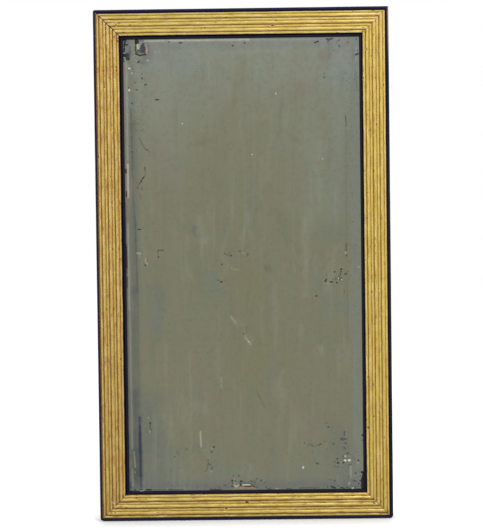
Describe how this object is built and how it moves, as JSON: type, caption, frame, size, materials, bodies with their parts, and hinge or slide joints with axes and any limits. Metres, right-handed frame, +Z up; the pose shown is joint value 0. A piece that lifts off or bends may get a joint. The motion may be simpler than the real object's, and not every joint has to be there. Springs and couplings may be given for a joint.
{
  "type": "pier mirror",
  "caption": "Tall wall-hung pier mirror: bevelled silvered plate in a mitred gilt reeded frame with ebonised edge and slip, pegged pine back and ring hangers.",
  "frame": {"origin": "middle of the back plane, on the middle backboard, where the mirror lies against the wall", "axes": "+Z up, +X to the right as seen from the front, -Y out of the mirror's face towards the viewer, +Y into the wall"},
  "size_m": [0.69, 0.0435, 1.2],
  "materials": {
    "gilding": "water gilding over bole and gesso on pine, rubbed and chipped",
    "ebonised": "black stain and varnish on pine, satin, worn at the corners",
    "mirror_glass": "old polished plate over darkened tin amalgam, foxed",
    "tin_foil": "dull grey amalgam, spotted",
    "pine": "old oxidised pine, planed, unfinished",
    "board_pine": "old pine boards, planed, darkened by age",
    "hardwood": "riven hardwood, unfinished",
    "iron": "dark wrought iron, lightly rusted",
    "brass": "old tarnished brass"
  },
  "bodies": {
    "root": {"back_rail_bottom": "pine", "back_rail_top": "pine", "back_stile_left": "pine", "back_stile_right": "pine", "backboard_1": "board_pine", "backboard_2": "board_pine", "backboard_3": "board_pine", "board_nail_1_1": "iron", "board_nail_1_2": "iron", "board_nail_1_3": "iron", "board_nail_1_4": "iron", "board_nail_2_1": "iron", "board_nail_2_2": "iron", "board_nail_2_3": "iron", "board_nail_2_4": "iron", "board_nail_3_1": "iron", "board_nail_3_2": "iron", "board_nail_3_3": "iron", "board_nail_3_4": "iron", "corner_peg_bottom_left": "hardwood", "corner_peg_bottom_right": "hardwood", "corner_peg_top_left": "hardwood", "corner_peg_top_right": "hardwood", "ebonised_edge_bottom": "ebonised", "ebonised_edge_left": "ebonised", "ebonised_edge_right": "ebonised", "ebonised_edge_top": "ebonised", "ebonised_slip_bottom": "ebonised", "ebonised_slip_left": "ebonised", "ebonised_slip_right": "ebonised", "ebonised_slip_top": "ebonised", "gilt_moulding_bottom": "gilding", "gilt_moulding_left": "gilding", "gilt_moulding_right": "gilding", "gilt_moulding_top": "gilding", "glue_block_bottom_1": "pine", "glue_block_bottom_2": "pine", "glue_block_left_1": "pine", "glue_block_left_2": "pine", "glue_block_left_3": "pine", "glue_block_right_1": "pine", "glue_block_right_2": "pine", "glue_block_right_3": "pine", "glue_block_top_1": "pine", "glue_block_top_2": "pine", "hanger_screw_left_lower": "iron", "hanger_screw_left_upper": "iron", "hanger_screw_right_lower": "iron", "hanger_screw_right_upper": "iron", "hanger_strap_left": "brass", "hanger_strap_right": "brass", "mirror_plate": "mirror_glass", "mitre_key_bottom_left": "hardwood", "mitre_key_bottom_right": "hardwood", "mitre_key_top_left": "hardwood", "mitre_key_top_right": "hardwood", "silvering": "tin_foil"},
    "ring_left": {"hanger_ring_left": "brass"},
    "ring_right": {"hanger_ring_right": "brass"}
  },
  "joints": [
    {"name": "ring_left_swing", "type": "hinge", "parent": "root", "child": "ring_left", "pos_m": [-0.3173, 0.0044, 0.33], "axis": [1, 0, 0], "range_deg": [0, 180]},
    {"name": "ring_right_swing", "type": "hinge", "parent": "root", "child": "ring_right", "pos_m": [0.3173, 0.0044, 0.33], "axis": [1, 0, 0], "range_deg": [0, 180]}
  ]
}
